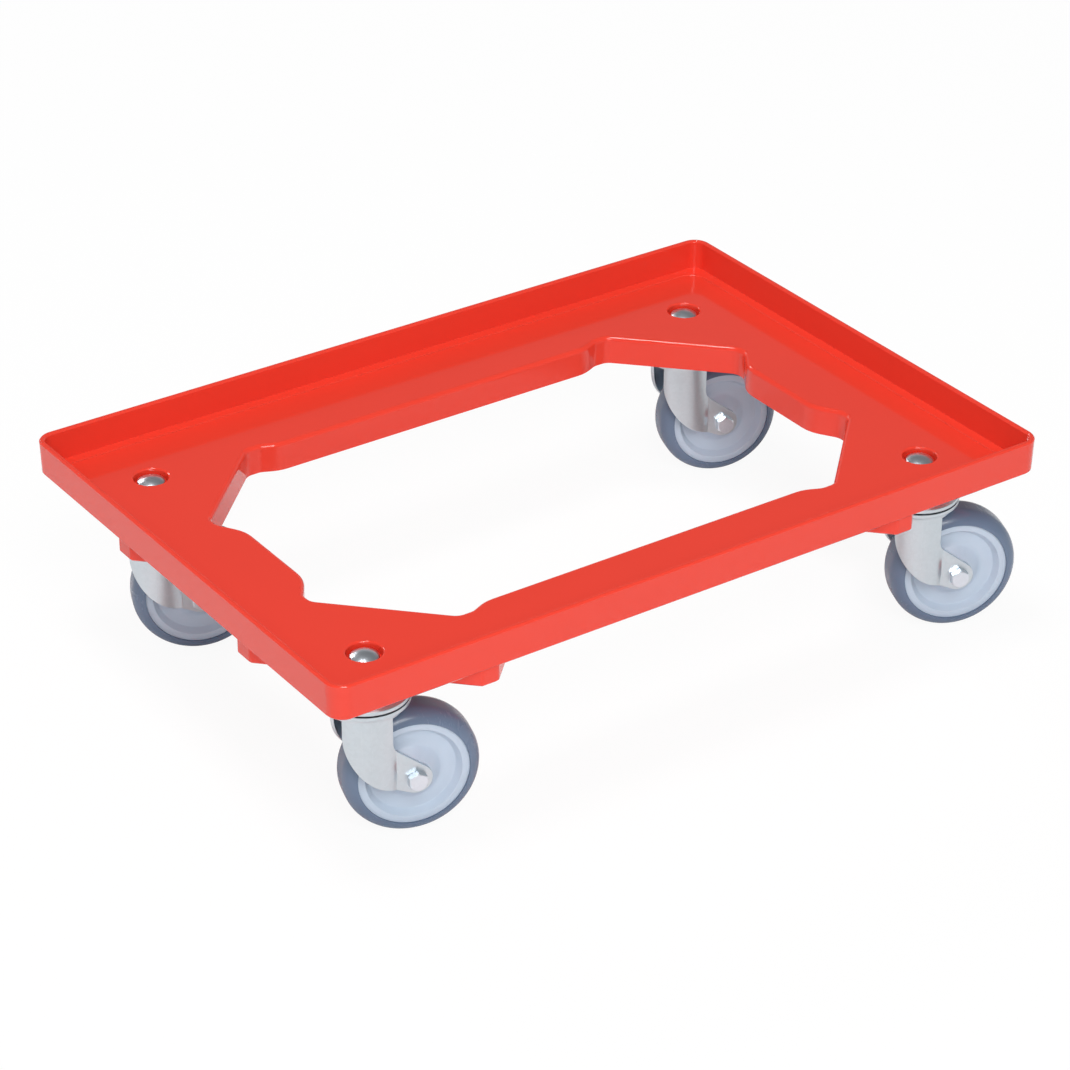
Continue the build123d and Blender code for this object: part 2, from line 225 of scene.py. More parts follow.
class DollyWheelSettings(bpy.types.PropertyGroup):
    """Sizes and colours of the wheels"""

    rubber: Colour("Rubber", "Colour of the tyre", (0.125, 0.177, 0.267))
    hub: Colour("Hub", "Colour of the moulded hub", (0.49, 0.58, 0.69))
    rubber_roughness: Share("Rubber roughness", "Roughness of the tyre", 0.26)
    hub_roughness: Share("Hub roughness", "Roughness of the moulded hub", 0.41)
    tyre_shoulder: Length("Shoulder", "Radius of the tyre's shoulders", 0.0118)
    rim_width: Length("Rim width", "Width of the hub's pale rim", 0.0288)
    rim_depth: Length("Rim depth", "Height of the rim's flat ring", 0.0054)
    dish_width: Length("Dish width", "Thickness of the dished web", 0.0184)
    dish_slope: Length("Dish slope", "Run of the slope from rim to web", 0.0034)
    boss_radius: Length("Boss radius", "Radius of the boss at its end", 0.0125)
    boss_flare: Length("Boss flare", "How far the boss widens to the web", 0.0085)
    turn_steps: Count("Steps", "Steps round a hub or tyre", 144)


class DollyStageSettings(bpy.types.PropertyGroup):
    """Floor, lamps and camera"""

    floor: Colour("Floor", "Colour of the floor", (0.95, 0.95, 0.95))
    floor_radius: Length("Floor radius", "Radius of the round floor", 40.0)
    whiteness: Share("Whiteness", "Share of plain white in the floor that the camera sees", 0.93)
    mirror_whiteness: Share(
        "Mirrored whiteness", "Share of plain white in the floor that shiny surfaces show", 0.05)
    lamp_distance: Length("Lamp distance", "From the middle of the deck to each lamp", 6.0)
    key_way: Way("Key lamp", "Direction of the wide lamp in front", (-0.28, -0.68, 0.68))
    key_power: Power("Key power", "Power of the lamp in front", 168.0)
    key_size: Length("Key size", "Width of the lamp in front", 2.4)
    fill_way: Way("Fill lamp", "Direction of the weak lamp beside the camera", (-0.49, -0.71, 0.50))
    fill_power: Power("Fill power", "Power of the lamp beside the camera", 50.0)
    fill_size: Length("Fill size", "Width of the lamp beside the camera", 1.6)
    top_way: Way("Top lamp", "Direction of the small lamp overhead", (-0.20, -0.05, 0.97))
    top_power: Power("Top power", "Power of the lamp overhead", 145.0)
    top_size: Length("Top size", "Width of the lamp overhead", 1.6)
    back_way: Way("Back lamp", "Direction of the lamp behind the dolly", (-0.05, 0.87, 0.48))
    back_power: Power("Back power", "Power of the lamp behind the dolly", 40.0)
    back_size: Length("Back size", "Width of the lamp behind the dolly", 1.0)
    sky_low: Light("Sky at the horizon", "Light of the room near the horizon", 0.50)
    sky_high: Light("Sky overhead", "Light of the room overhead", 0.2)
    cove_height: Share("Cove height", "Sine of the elevation where the bright cove ends", 0.4)
    cove_blur: Share("Cove blur", "Half of the range over which the cove fades", 0.1)
    azimuth: Angle("Azimuth", "Turn of the camera about the dolly", radians(-34.933))
    elevation: Angle("Elevation", "Angle of the camera above the horizon", radians(30.0728))
    roll: Angle("Roll", "Turn of the camera about its own line of sight", radians(0.3522))
    distance: Length("Distance", "From the camera to the point that it circles", 2.6068521)
    aim_height: Length("Aim height", "Height of the point that the camera circles", 0.170)
    aside: Length("Aside", "How far the camera stands to its right", -0.0022122)
    above: Length("Above", "How far the camera stands above its line", -0.071495)
    focal_pixels: Pixel("Focal length", "Focal length in pixels of the photograph's frame", 3504.2584)


# Mesh helpers


def new_object(name, mesh):
    """An object at the origin that shows the mesh."""
    piece = bpy.data.objects.new(name, mesh)
    bpy.context.scene.collection.objects.link(piece)
    return piece


def baked(piece):
    """The object's mesh with every modifier worked in."""
    graph = bpy.context.evaluated_depsgraph_get()
    mesh = bpy.data.meshes.new_from_object(piece.evaluated_get(graph))
    piece.modifiers.clear()
    piece.data = mesh
    return mesh


def mesh_from(work, name):
    """A new mesh from finished bmesh work."""
    mesh = bpy.data.meshes.new(name)
    work.to_mesh(mesh)
    work.free()
    return mesh


def tidy_mesh(mesh):
    """Welds a mesh and turns its faces outwards."""
    work = bmesh.new()
    work.from_mesh(mesh)
    bmesh.ops.remove_doubles(work, verts=work.verts, dist=WELD)
    bmesh.ops.recalc_face_normals(work, faces=work.faces)
    work.to_mesh(mesh)
    work.free()
    return mesh


def shade(mesh, angle=SHARP_ANGLE):
    """Smooth shading, broken where faces meet at more than the angle."""
    mesh.shade_smooth()
    mesh.set_sharp_from_angle(angle=angle)
    return mesh


def welded_copy(node):
    """A CAD node's mesh welded, with its flat faces joined, under a new name."""
    work = bmesh.new()
    work.from_mesh(frame["nodes"][node].data)
    bmesh.ops.remove_doubles(work, verts=work.verts, dist=WELD)
    bmesh.ops.dissolve_limit(work, angle_limit=FLAT_ANGLE, verts=work.verts, edges=work.edges)
    for layer in list(work.loops.layers.float_vector.values()):
        work.loops.layers.float_vector.remove(layer)
    return mesh_from(work, f"{node}_copy")


def rounded(piece, radius, segments=2):
    """Rounds every edge of a piece and shades it as one moulding or pressing."""
    rounding = piece.modifiers.new("edges", "BEVEL")
    rounding.limit_method = "ANGLE"
    rounding.angle_limit = ROUND_ANGLE
    rounding.offset_type = "OFFSET"
    rounding.width = radius
    rounding.segments = segments
    rounding.use_clamp_overlap = False
    baked(piece)
    shade(piece.data)
    weighting = piece.modifiers.new("normals", "WEIGHTED_NORMAL")
    weighting.keep_sharp = True
    weighting.weight = 80
    baked(piece)
    return piece


def dress(piece, body, slot, material, *nodes):
    """Gives a finished piece its material and body, and hides the CAD nodes that it stands for; the slot is
    not used.
    """
    piece.data.materials.clear()
    piece.data.materials.append(material)
    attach(piece, body)
    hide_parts(*nodes)
    return piece


# Profiles of turned pieces, as (radius, height) points


def arc(centre, radius, start, end, steps):
    """Points on an arc from one angle to another, both ends included."""
    turns = [start + (end - start) * i / steps for i in range(steps + 1)]
    return [(centre[0] + radius * cos(t), centre[1] + radius * sin(t)) for t in turns]


def softened(points, rounds, steps=5):
    """A profile with each corner rounded by its own radius; a radius of 0 keeps it sharp."""
    soft = []
    for i, (corner, radius) in enumerate(zip(points, rounds)):
        here = Vector(corner)
        before = Vector(points[i - 1]) - here
        after = Vector(points[(i + 1) % len(points)]) - here
        if radius == 0:
            soft.append(corner)
            continue
        half = before.angle(after) / 2
        reach = radius / tan(half)
        start = here + before.normalized() * reach
        end = here + after.normalized() * reach
        middle = here + (before.normalized() + after.normalized()).normalized() * (radius / sin(half))
        first = atan2(start.y - middle.y, start.x - middle.x)
        sweep = atan2(end.y - middle.y, end.x - middle.x) - first
        sweep = (sweep + pi) % (2 * pi) - pi
        soft += arc(middle, radius, first, first + sweep, steps)
    return soft


# Geometry node trees


def geometry_tree(name, sockets):
    """A geometry tree with named inputs and one geometry output."""
    tree = bpy.data.node_groups.new(name, "GeometryNodeTree")
    for label, kind in sockets.items():
        tree.interface.new_socket(label, in_out="INPUT", socket_type=kind)
    tree.interface.new_socket("Geometry", in_out="OUTPUT", socket_type="NodeSocketGeometry")
    return tree, tree.nodes.new("NodeGroupInput"), tree.nodes.new("NodeGroupOutput")


def wire(tree, *links):
    """Links sockets, each link given as (node, output, node, input)."""
    for start, output, end, socket in links:
        tree.links.new(start.outputs[output], end.inputs[socket])


def feed(tree, node, **values):
    """Sets a node's inputs, named in lower case with underscores, to numbers or from other sockets."""
    for label, value in values.items():
        socket = node.inputs[label.replace("_", " ").title()]
        if isinstance(value, bpy.types.NodeSocket):
            tree.links.new(value, socket)
        else:
            socket.default_value = value
    return node


def finish_tree(tree, source, ends, last, result):
    """Realizes the last node's result, gives it its material and sends it out."""
    real = tree.nodes.new("GeometryNodeRealizeInstances")
    paint = tree.nodes.new("GeometryNodeSetMaterial")
    wire(tree,
         (last, result, real, "Geometry"),
         (real, "Geometry", paint, "Geometry"),
         (source, "Material", paint, "Material"),
         (paint, "Geometry", ends, "Geometry"))
    return tree


def turned_tree():
    """Sweeps a profile curve round the Z axis."""
    tree, source, ends = geometry_tree("turned_piece", {
        "Profile": "NodeSocketObject",
        "Steps": "NodeSocketInt",
        "Core": "NodeSocketFloat",
        "Material": "NodeSocketMaterial",
    })
    profile = tree.nodes.new("GeometryNodeObjectInfo")
    path = tree.nodes.new("GeometryNodeCurvePrimitiveCircle")
    sweep = tree.nodes.new("GeometryNodeCurveToMesh")
    wire(tree,
         (source, "Profile", profile, "Object"),
         (source, "Steps", path, "Resolution"),
         (source, "Core", path, "Radius"),
         (path, "Curve", sweep, "Curve"),
         (profile, "Geometry", sweep, "Profile Curve"))
    return finish_tree(tree, source, ends, sweep, "Mesh")


def pattern_tree():
    """Sets one piece at the four corners of a rectangle."""
    tree, source, ends = geometry_tree("corner_pattern", {
        "Piece": "NodeSocketObject",
        "Spacing X": "NodeSocketFloat",
        "Spacing Y": "NodeSocketFloat",
        "Middle": "NodeSocketVector",
        "Material": "NodeSocketMaterial",
    })
    piece = tree.nodes.new("GeometryNodeObjectInfo")
    grid = feed(tree, tree.nodes.new("GeometryNodeMeshGrid"), vertices_x=2, vertices_y=2)
    shift = tree.nodes.new("GeometryNodeSetPosition")
    copies = tree.nodes.new("GeometryNodeInstanceOnPoints")
    wire(tree,
         (source, "Piece", piece, "Object"),
         (source, "Spacing X", grid, "Size X"),
         (source, "Spacing Y", grid, "Size Y"),
         (grid, "Mesh", shift, "Geometry"),
         (source, "Middle", shift, "Offset"),
         (shift, "Geometry", copies, "Points"),
         (piece, "Geometry", copies, "Instance"))
    return finish_tree(tree, source, ends, copies, "Instances")


def ball_tree():
    """Sets balls evenly round a ring about the Z axis."""
    tree, source, ends = geometry_tree("ball_ring", {
        "Count": "NodeSocketInt",
        "Ring Radius": "NodeSocketFloat",
        "Ball Radius": "NodeSocketFloat",
        "Height": "NodeSocketVector",
        "Material": "NodeSocketMaterial",
    })
    ring = tree.nodes.new("GeometryNodeMeshCircle")
    ball = feed(tree, tree.nodes.new("GeometryNodeMeshUVSphere"), segments=20, rings=12)
    lift = tree.nodes.new("GeometryNodeSetPosition")
    copies = tree.nodes.new("GeometryNodeInstanceOnPoints")
    wire(tree,
         (source, "Count", ring, "Vertices"),
         (source, "Ring Radius", ring, "Radius"),
         (source, "Ball Radius", ball, "Radius"),
         (ring, "Mesh", lift, "Geometry"),
         (source, "Height", lift, "Offset"),
         (lift, "Geometry", copies, "Points"),
         (ball, "Mesh", copies, "Instance"))
    return finish_tree(tree, source, ends, copies, "Instances")


def grown(name, tree, **values):
    """A plain mesh from a geometry tree, with its inputs given by their names."""
    piece = new_object(name, bpy.data.meshes.new(name))
    growth = piece.modifiers.new("growth", "NODES")
    growth.node_group = tree
    sockets = {item.name: item.identifier for item in tree.interface.items_tree if item.in_out == "INPUT"}
    for label, identifier in sockets.items():
        growth[identifier] = values[label.lower().replace(" ", "_")]
    baked(piece)
    return piece


def turned_piece(name, points, closed, steps, material):
    """A piece turned about Z: its (radius, height) points are swept along a thin ring round the axis."""
    line = bpy.data.curves.new(f"{name}_profile", "CURVE")
    line.dimensions = "3D"
    spline = line.splines.new("POLY")
    spline.points.add(len(points) - 1)
    for point, (radius, height) in zip(spline.points, points):
        point.co = (radius - CORE_RADIUS, -height, 0, 1)
    spline.use_cyclic_u = closed
    profile = new_object(line.name, line)
    tree = bpy.data.node_groups.get("turned_piece") or turned_tree()
    piece = grown(name, tree, profile=profile, steps=steps, core=CORE_RADIUS, material=material)
    bpy.data.objects.remove(profile)
    bpy.data.curves.remove(line)
    shade(tidy_mesh(piece.data))
    return piece


# Shader node groups shared by several materials


def shader_group(name, inputs, outputs):
    """A shader group with named inputs, each with its default, and value outputs."""
    tree = bpy.data.node_groups.new(name, "ShaderNodeTree")
    for label, default in inputs.items():
        socket = tree.interface.new_socket(label, in_out="INPUT", socket_type="NodeSocketFloat")
        socket.default_value = default
    for label in outputs:
        tree.interface.new_socket(label, in_out="OUTPUT", socket_type="NodeSocketFloat")
    return tree, tree.nodes.new("NodeGroupInput"), tree.nodes.new("NodeGroupOutput")


def worked(tree, operation, first, second):
    """A math node on two values, each a socket or a number."""
    step = tree.nodes.new("ShaderNodeMath")
    step.operation = operation
    for socket, value in zip(step.inputs, (first, second)):
        if isinstance(value, bpy.types.NodeSocket):
            tree.links.new(value, socket)
        else:
            socket.default_value = value
    return step.outputs["Value"]


def noise(tree, place, scale, detail, roughness=0.55):
    """A noise value; scale is a socket or a number."""
    texture = tree.nodes.new("ShaderNodeTexNoise")
    feed(tree, texture, vector=place, scale=scale, detail=detail, roughness=roughness)
    return texture.outputs["Fac"]


def object_place(tree):
    """Places on the piece itself, in metres."""
    return tree.nodes.new("ShaderNodeTexCoord").outputs["Object"]


def scale_for(tree, size):
    """The scale at which a texture's features have about the size given."""
    return worked(tree, "DIVIDE", 1.0, size)


def mould_skin():
    """Skin of a moulded piece: fine grain for the bump, and a slow drift for tone and gloss."""
    sizes = {"Grain Size": 0.0011, "Drift Size": 0.09}
    tree, source, ends = shader_group("mould_skin", sizes, ("Grain", "Drift"))
    place = object_place(tree)
    fine = noise(tree, place, scale_for(tree, source.outputs["Grain Size"]), detail=3)
    slow = noise(tree, place, scale_for(tree, source.outputs["Drift Size"]), detail=2)
    feed(tree, ends, grain=fine, drift=slow)
    return tree


def handling_marks():
    """Faint rubbed streaks: a mask of thin stretched noise, broken up by a slow one."""
    threshold = 0.55
    contrast = 4.0
    tree, source, ends = shader_group("handling_marks", {"Streak Size": 0.0016, "Amount": 0.5}, ("Mask",))
    place = object_place(tree)
    stretch = tree.nodes.new("ShaderNodeMapping")
    feed(tree, stretch, vector=place, rotation=(0.2, 0.1, 0.6), scale=(1.0, 0.06, 0.35))
    fineness = scale_for(tree, source.outputs["Streak Size"])
    streak = noise(tree, stretch.outputs["Vector"], fineness, detail=4)
    patch = noise(tree, place, scale=14.0, detail=2)
    thin = worked(tree, "MAXIMUM", worked(tree, "SUBTRACT", streak, threshold), 0.0)
    broken = worked(tree, "MULTIPLY", worked(tree, "MULTIPLY", thin, contrast), patch)
    feed(tree, ends, mask=worked(tree, "MULTIPLY", broken, source.outputs["Amount"]))
    return tree


def zinc_bloom():
    """Clouded tone of bright zinc: small crystals in a soft mottle."""
    sizes = {"Crystal Size": 0.0022, "Cloud Size": 0.02}
    tree, source, ends = shader_group("zinc_bloom", sizes, ("Tone", "Cloud"))
    place = object_place(tree)
    crystal = tree.nodes.new("ShaderNodeTexVoronoi")
    feed(tree, crystal, vector=place, scale=scale_for(tree, source.outputs["Crystal Size"]))
    split = tree.nodes.new("ShaderNodeSeparateColor")
    feed(tree, split, color=crystal.outputs["Color"])
    cloud = noise(tree, place, scale_for(tree, source.outputs["Cloud Size"]), detail=5, roughness=0.6)
    mean = worked(tree, "MULTIPLY", worked(tree, "ADD", split.outputs["Red"], cloud), 0.5)
    feed(tree, ends, tone=mean, cloud=cloud)
    return tree


# Materials


def new_material(name):
    """An empty node material and its shader."""
    material = bpy.data.materials.new(name)
    material.use_nodes = True
    tree = material.node_tree
    tree.nodes.clear()
    surface = tree.nodes.new("ShaderNodeBsdfPrincipled")
    output = tree.nodes.new("ShaderNodeOutputMaterial")
    tree.links.new(surface.outputs["BSDF"], output.inputs["Surface"])
    return material, tree, surface


def placed_group(tree, build, **values):
    """A shared group placed in a material, built the first time, with its own values."""
    use = tree.nodes.new("ShaderNodeGroup")
    use.node_tree = bpy.data.node_groups.get(build.__name__) or build()
    return feed(tree, use, **values)


def spread(tree, value, middle, drift):
    """Maps a value from 0..1 to a range about the middle, as far as the drift on both sides."""
    ramp = tree.nodes.new("ShaderNodeMapRange")
    feed(tree, ramp, value=value, to_min=middle - drift, to_max=middle + drift)
    return ramp.outputs["Result"]


def toned(tree, colour, value, drift):
    """A colour made darker and lighter by a value, as far as the drift on both sides."""
    tint = tree.nodes.new("ShaderNodeMix")
    tint.data_type = "RGBA"
    darker = (*[part * (1 - drift) for part in colour], 1)
    lighter = (*[min(1, part * (1 + drift)) for part in colour], 1)
    feed(tree, tint, factor=value, a=darker, b=lighter)
    return tint.outputs["Result"]


def rubbed(tree, roughness, wear, **values):
    """A roughness raised by the wear along faint handling marks."""
    marks = placed_group(tree, handling_marks, **values)
    return worked(tree, "ADD", roughness, worked(tree, "MULTIPLY", marks.outputs["Mask"], wear))


def bumped(tree, surface, height, depth, strength):
    """Feeds a height to the shader's normal; depth is in metres."""
    bump = tree.nodes.new("ShaderNodeBump")
    feed(tree, bump, height=height, distance=depth, strength=strength)
    feed(tree, surface, normal=bump.outputs["Normal"])


def moulded_red(settings):
    """Glossy red plastic with a fine grain and faint rubbed streaks."""
    material, tree, surface = new_material("moulded_red")
    skin = placed_group(tree, mould_skin, grain_size=0.0013, drift_size=0.12)
    tone = toned(tree, settings.red, skin.outputs["Drift"], drift=0.03)
    gloss = spread(tree, skin.outputs["Drift"], settings.gloss, drift=0.03)
    worn = rubbed(tree, gloss, wear=0.12, streak_size=0.0018, amount=0.6)
    feed(tree, surface, base_color=tone, roughness=worn)
    surface.inputs["IOR"].default_value = 1.46
    bumped(tree, surface, skin.outputs["Grain"], depth=0.00005, strength=0.25)
    return material


def plated_zinc(name, colour, roughness):
    """Bright clouded plating, made once under its name and then used again."""
    if name in bpy.data.materials:
        return bpy.data.materials[name]
    material, tree, surface = new_material(name)
    bloom = placed_group(tree, zinc_bloom)
    tone = toned(tree, colour, bloom.outputs["Tone"], drift=0.04)
    clouded = spread(tree, bloom.outputs["Cloud"], roughness, drift=0.04)
    worn = rubbed(tree, clouded, wear=0.15, streak_size=0.0012, amount=0.4)
    feed(tree, surface, base_color=tone, roughness=worn, metallic=1.0)
    bumped(tree, surface, bloom.outputs["Cloud"], depth=0.00008, strength=0.03)
    return material


def pressed_zinc(settings):
    """Plating of the forks and swivel caps."""
    return plated_zinc("plated_pressings", settings.zinc, settings.zinc_roughness)


def fastener_zinc(settings):
    """Plating of the bolts and nuts."""
    return plated_zinc("plated_fasteners", settings.fastener, settings.fastener_roughness)


def turned_steel(settings):
    """Steel of the balls, sleeves and retainers."""
    return plated_zinc("turned_steel", settings.zinc, settings.fastener_roughness)


def moulded_hub(settings):
    """Pale satin plastic of the wheel hubs."""
    material, tree, surface = new_material("moulded_hub")
    skin = placed_group(tree, mould_skin, grain_size=0.0009, drift_size=0.03)
    tone = toned(tree, settings.hub, skin.outputs["Drift"], drift=0.03)
    satin = spread(tree, skin.outputs["Drift"], settings.hub_roughness, drift=0.05)
    feed(tree, surface, base_color=tone, roughness=satin)
    bumped(tree, surface, skin.outputs["Grain"], depth=0.00004, strength=0.2)
    return material


def tyre_rubber(settings):
    """Dark rubber with a satin skin and a few rubbed streaks."""
    material, tree, surface = new_material("tyre_rubber")
    skin = placed_group(tree, mould_skin, grain_size=0.0007, drift_size=0.04)
    tone = toned(tree, settings.rubber, skin.outputs["Drift"], drift=0.08)
    satin = spread(tree, skin.outputs["Drift"], settings.rubber_roughness, drift=0.04)
    worn = rubbed(tree, satin, wear=0.2, streak_size=0.0015, amount=0.2)
    feed(tree, surface, base_color=tone, roughness=worn)
    bumped(tree, surface, skin.outputs["Grain"], depth=0.00005, strength=0.3)
    return material


def floor_paint(settings):
    """Pale floor that the camera sees as plain white, with a share of the dolly's shadow left in."""
    material, tree, surface = new_material("studio_floor")
    feed(tree, surface, base_color=(*settings.floor, 1), roughness=0.9)
    surface.inputs["Specular IOR Level"].default_value = 0.0
    path = tree.nodes.new("ShaderNodeLightPath")
    clear = worked(tree, "MULTIPLY", path.outputs["Is Camera Ray"], settings.whiteness)
    mirrored = worked(tree, "MULTIPLY", path.outputs["Is Glossy Ray"], settings.mirror_whiteness)
    white = tree.nodes.new("ShaderNodeEmission")
    blend = tree.nodes.new("ShaderNodeMixShader")
    tree.links.new(worked(tree, "MAXIMUM", clear, mirrored), blend.inputs["Fac"])
    tree.links.new(surface.outputs["BSDF"], blend.inputs[1])
    tree.links.new(white.outputs["Emission"], blend.inputs[2])
    output = next(node for node in tree.nodes if node.type == "OUTPUT_MATERIAL")
    tree.links.new(blend.outputs["Shader"], output.inputs["Surface"])
    return material


# Shapes of single pieces


def bolt_profile(settings):
    """Domed head and shank of a mounting bolt, from the axis round to the axis."""
    head = (BOLT_HIGH.x - BOLT_LOW.x) / 2 - bolt_spacing().x / 2
    shank = settings.shank_radius
    seat = BOLT_HIGH.z - settings.head_height
    rise = settings.head_height - settings.head_edge
    dome = (head**2 + rise**2) / (2 * rise)
    top = arc((0, BOLT_HIGH.z - dome), dome, acos(head / dome), pi / 2, steps=16)
    points = [(0, BOLT_LOW.z), (shank, BOLT_LOW.z), (shank, seat), (head, seat), *top]
    rounds = [settings.head_round if point == top[0] else 0.0 for point in points]
    return softened(points, rounds)


def bolt_spacing():
    """Distance between the castors' swivel axes along X and Y."""
    places = [Vector(JOINTS[f"{corner}_swivel"]["pos_m"]) for corner in CORNERS]
    return Vector([max(p[i] for p in places) - min(p[i] for p in places) for i in range(3)])


def hexagon(name, flats, bottom, top, bore=0):
    """A hexagon head or nut along Z with both ends turned; a bore of 0 closes it."""
    work = bmesh.new()
    steps = HEXAGON_STEPS
    face = flats / 2 * TURNED_SHARE
    turns = [2 * pi * i / steps for i in range(steps)]
    sides = [flats / 2 / cos((turn + pi / 6) % (pi / 3) - pi / 6) for turn in turns]
    drops = [(side - face) * CHAMFER_SLOPE for side in sides]

    def ring(radii, heights):
        return [work.verts.new((r * cos(t), r * sin(t), z)) for r, t, z in zip(radii, turns, heights)]

    rings = [
        ring([face] * steps, [bottom] * steps),
        ring(sides, [bottom + drop for drop in drops]),
        ring(sides, [top - drop for drop in drops]),
        ring([face] * steps, [top] * steps),
    ]
    if bore:
        rings.append(ring([bore] * steps, [top] * steps))
        rings.append(ring([bore] * steps, [bottom] * steps))
        rings.append(rings[0])
    for low, high in zip(rings, rings[1:]):
        for i in range(steps):
            j = (i + 1) % steps
            work.faces.new((low[i], low[j], high[j], high[i]))
    if not bore:
        work.faces.new(list(reversed(rings[0])))
        work.faces.new(rings[-1])
    return shade(tidy_mesh(mesh_from(work, name)), HEXAGON_ANGLE)


def joined(name, *meshes):
    """One mesh from several."""
    work = bmesh.new()
    for mesh in meshes:
        work.from_mesh(mesh)
    return mesh_from(work, name)


def axle_profile(settings, head_top):
    """Shank of an axle bolt, from the far end with its thread to the head."""
    radius = settings.axle_radius
    pitch = settings.thread_pitch
    root = radius - pitch * settings.thread_depth
    turns = int((AXLE_HIGH.z - AXLE_NUT_LOW.z) / pitch)
    points = [(0, AXLE_HIGH.z), (root, AXLE_HIGH.z)]
    for i in range(turns):
        crest = AXLE_HIGH.z - pitch * (i + 0.5)
        points += [(radius, crest), (root, crest - pitch / 2)]
    return points + [(radius, AXLE_NUT_LOW.z), (radius, head_top), (0, head_top)]


def hub_profile(settings):
    """Half of the hub's section from bore to rim, mirrored to a closed profile with soft corners."""
    rim = HUB_HIGH.x
    inside = rim - settings.rim_depth
    web = settings.dish_width / 2
    half = [
        (SLEEVE_HIGH.x, HUB_HIGH.z),
        (settings.boss_radius, HUB_HIGH.z),
        (settings.boss_radius + settings.boss_flare, web),
        (inside - settings.dish_slope, web),
        (inside, settings.rim_width / 2),
        (rim, settings.rim_width / 2),
    ]
    rounds = [0, BOSS_EDGE, BOSS_FOOT, DISH_FOOT, RIM_INSIDE, RIM_OUTSIDE]
    whole = half + [(radius, -height) for radius, height in reversed(half)]
    return softened(whole, rounds + rounds[::-1])


def tyre_profile(settings):
    """Tread with round shoulders down to the hub's rim."""
    outer = TYRE_HIGH.x
    shoulder = settings.tyre_shoulder
    lean = acos((HUB_HIGH.x - outer + shoulder) / shoulder)
    across = TYRE_HIGH.z - shoulder * sin(lean)
    upper = arc((outer - shoulder, across), shoulder, lean, 0, steps=14)
    return upper + [(radius, -height) for radius, height in reversed(upper)]


def cap_profile(settings):
    """Pressed cone with an upright lip that ends a small gap above the fork, open below."""
    top = CAP_HIGH.z
    low = FORK_HIGH.z + settings.cap_gap
    lip = CAP_LOW.z + settings.cap_lip
    rim = CAP_HIGH.x
    steel = settings.cap_steel
    run = rim - settings.cap_top
    rise = top - lip
    side = steel * hypot(run, rise) / rise
    inner_top = settings.cap_top + run * steel / rise - side
    inner_lip = top - (run - steel + side) * rise / run
    points = [
        (settings.cap_bore, top),
        (settings.cap_top, top),
        (rim, lip),
        (rim, low),
        (rim - steel, low),
        (rim - steel, inner_lip),
        (inner_top, top - steel),
        (settings.cap_bore, top - steel),
    ]
    outside = [0, CAP_SHOULDER, CAP_BREAK, CAP_LIP_OUTSIDE]
    inside = [CAP_LIP_INSIDE, CAP_INNER_BREAK, CAP_INNER_SHOULDER, 0]
    return softened(points, outside + inside)


def leg_outline(settings, top):
    """Side view of a fork leg as (distance behind the swivel axis, height) points."""
    axle = axle_spot()
    tip = axle.y - FORK_LOW.z
    front = (settings.front_round - settings.fork_front, axle.y + settings.front_rise)
    knee = (settings.fork_back, axle.y + settings.knee_rise)
    low_turn = tangent_turn(front, settings.front_round, axle, tip, -1)
    high_turn = tangent_turn(knee, 0, axle, tip, 1)
    bend = settings.knee_round
    inside_knee = (knee[0] + bend, knee[1] + bend * (1 - cos(high_turn)) / sin(high_turn))
    return [
        (-settings.fork_front, top),
        *arc(front, settings.front_round, pi, 2 * pi + low_turn, steps=24),
        *arc(axle, tip, low_turn, high_turn, steps=24),
        *arc(inside_knee, bend, pi + high_turn, pi, steps=10),
        (settings.fork_back, top),
    ]


def tangent_turn(centre_a, radius_a, centre_b, radius_b, side):
    """Direction from both centres to the line that touches two circles on one side, seen from a to b."""
    away = Vector(centre_b) - Vector(centre_a)
    return atan2(away.y, away.x) + side * acos((radius_a - radius_b) / away.length)


def leg_bends(settings):
    """Plan of a leg's outer face: body radius, distance of its flat, and where its bend starts and ends."""
    body = FORK_HIGH.y - settings.crown_flare
    flat = AXLE_NUT_LOW.z
    end = sqrt((body + settings.fork_bend)**2 - (flat + settings.fork_bend)**2)
    return body, flat, end * body / (body + settings.fork_bend), end


def leg_face(settings, x):
    """Distance of a leg's outer face from the wheel's middle plane: round, bent and then flat."""
    body, flat, start, end = leg_bends(settings)
    if x < start:
        return sqrt(body**2 - x**2)
    if x < end:
        return flat + settings.fork_bend - sqrt(settings.fork_bend**2 - (end - x)**2)
    return flat


def leg_strips(settings, round_steps=30, bend_steps=4):
    """Places along a leg where its sheet is split, so that its bends come out smooth."""
    body, _, start, end = leg_bends(settings)
    first = -asin(settings.fork_front / body)
    last = asin(start / body)
    places = [body * sin(first + (last - first) * i / round_steps) for i in range(1, round_steps + 1)]
    return places + [start + (end - start) * i / bend_steps for i in range(1, bend_steps + 1)]


def leg_sheets(settings, top):
    """Both legs of a fork as bent sheets that face outwards."""
    work = bmesh.new()
    work.faces.new([work.verts.new((x, 0, z)) for x, z in leg_outline(settings, top)])
    for place in leg_strips(settings):
        everything = [*work.verts, *work.edges, *work.faces]
        bmesh.ops.bisect_plane(work, geom=everything, plane_co=(place, 0, 0), plane_no=(1, 0, 0), dist=WELD)
    for vertex in work.verts:
        vertex.co.y = -leg_face(settings, vertex.co.x)
    near = mesh_from(work, "near_leg")
    far = near.copy()
    far.transform(Matrix.Scale(-1, 4, (0, 1, 0)))
    far.flip_normals()
    return joined("leg_sheets", near, far)


